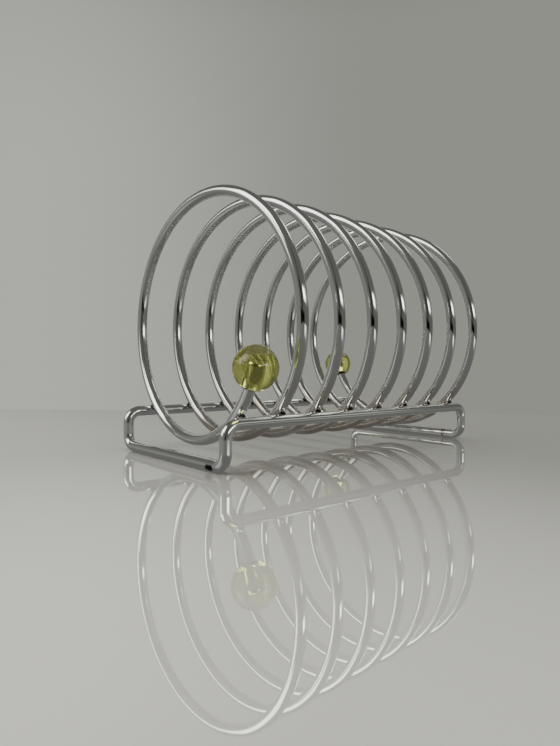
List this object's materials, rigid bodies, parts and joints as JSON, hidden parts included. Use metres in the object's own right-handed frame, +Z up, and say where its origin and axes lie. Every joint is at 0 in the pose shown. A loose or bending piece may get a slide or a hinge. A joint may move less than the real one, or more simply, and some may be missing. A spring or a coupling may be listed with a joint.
{
  "type": "toast rack",
  "caption": "Toast rack of one chromed wire coil welded into a low wire base, with a clear yellow-green bead on each wire end; slices stand between the turns.",
  "frame": {"origin": "on the table, midway between the two feet and midway between the two rails; the bottom centre of the box to within 1 mm, because the two ends of the coil reach up to slightly different heights", "axes": "+X along the coil from the front end to the rear end, +Y towards the left rail, +Z up"},
  "size_m": [0.1559, 0.1078, 0.1099],
  "materials": {
    "chromed_wire": "bright chrome plate, faintly brown near the welds",
    "weld": "dull plated weld metal with a trace of rust",
    "clear_bead": "polished translucent yellow-green acrylic"
  },
  "bodies": {
    "root": {"coil_wire": "chromed_wire", "base_wire_left": "chromed_wire", "base_wire_right": "chromed_wire", "butt_weld_front": "weld", "butt_weld_rear": "weld", "rail_welds_left": "weld", "rail_welds_right": "weld", "bead_front": "clear_bead", "bead_rear": "clear_bead"}
  },
  "joints": []
}
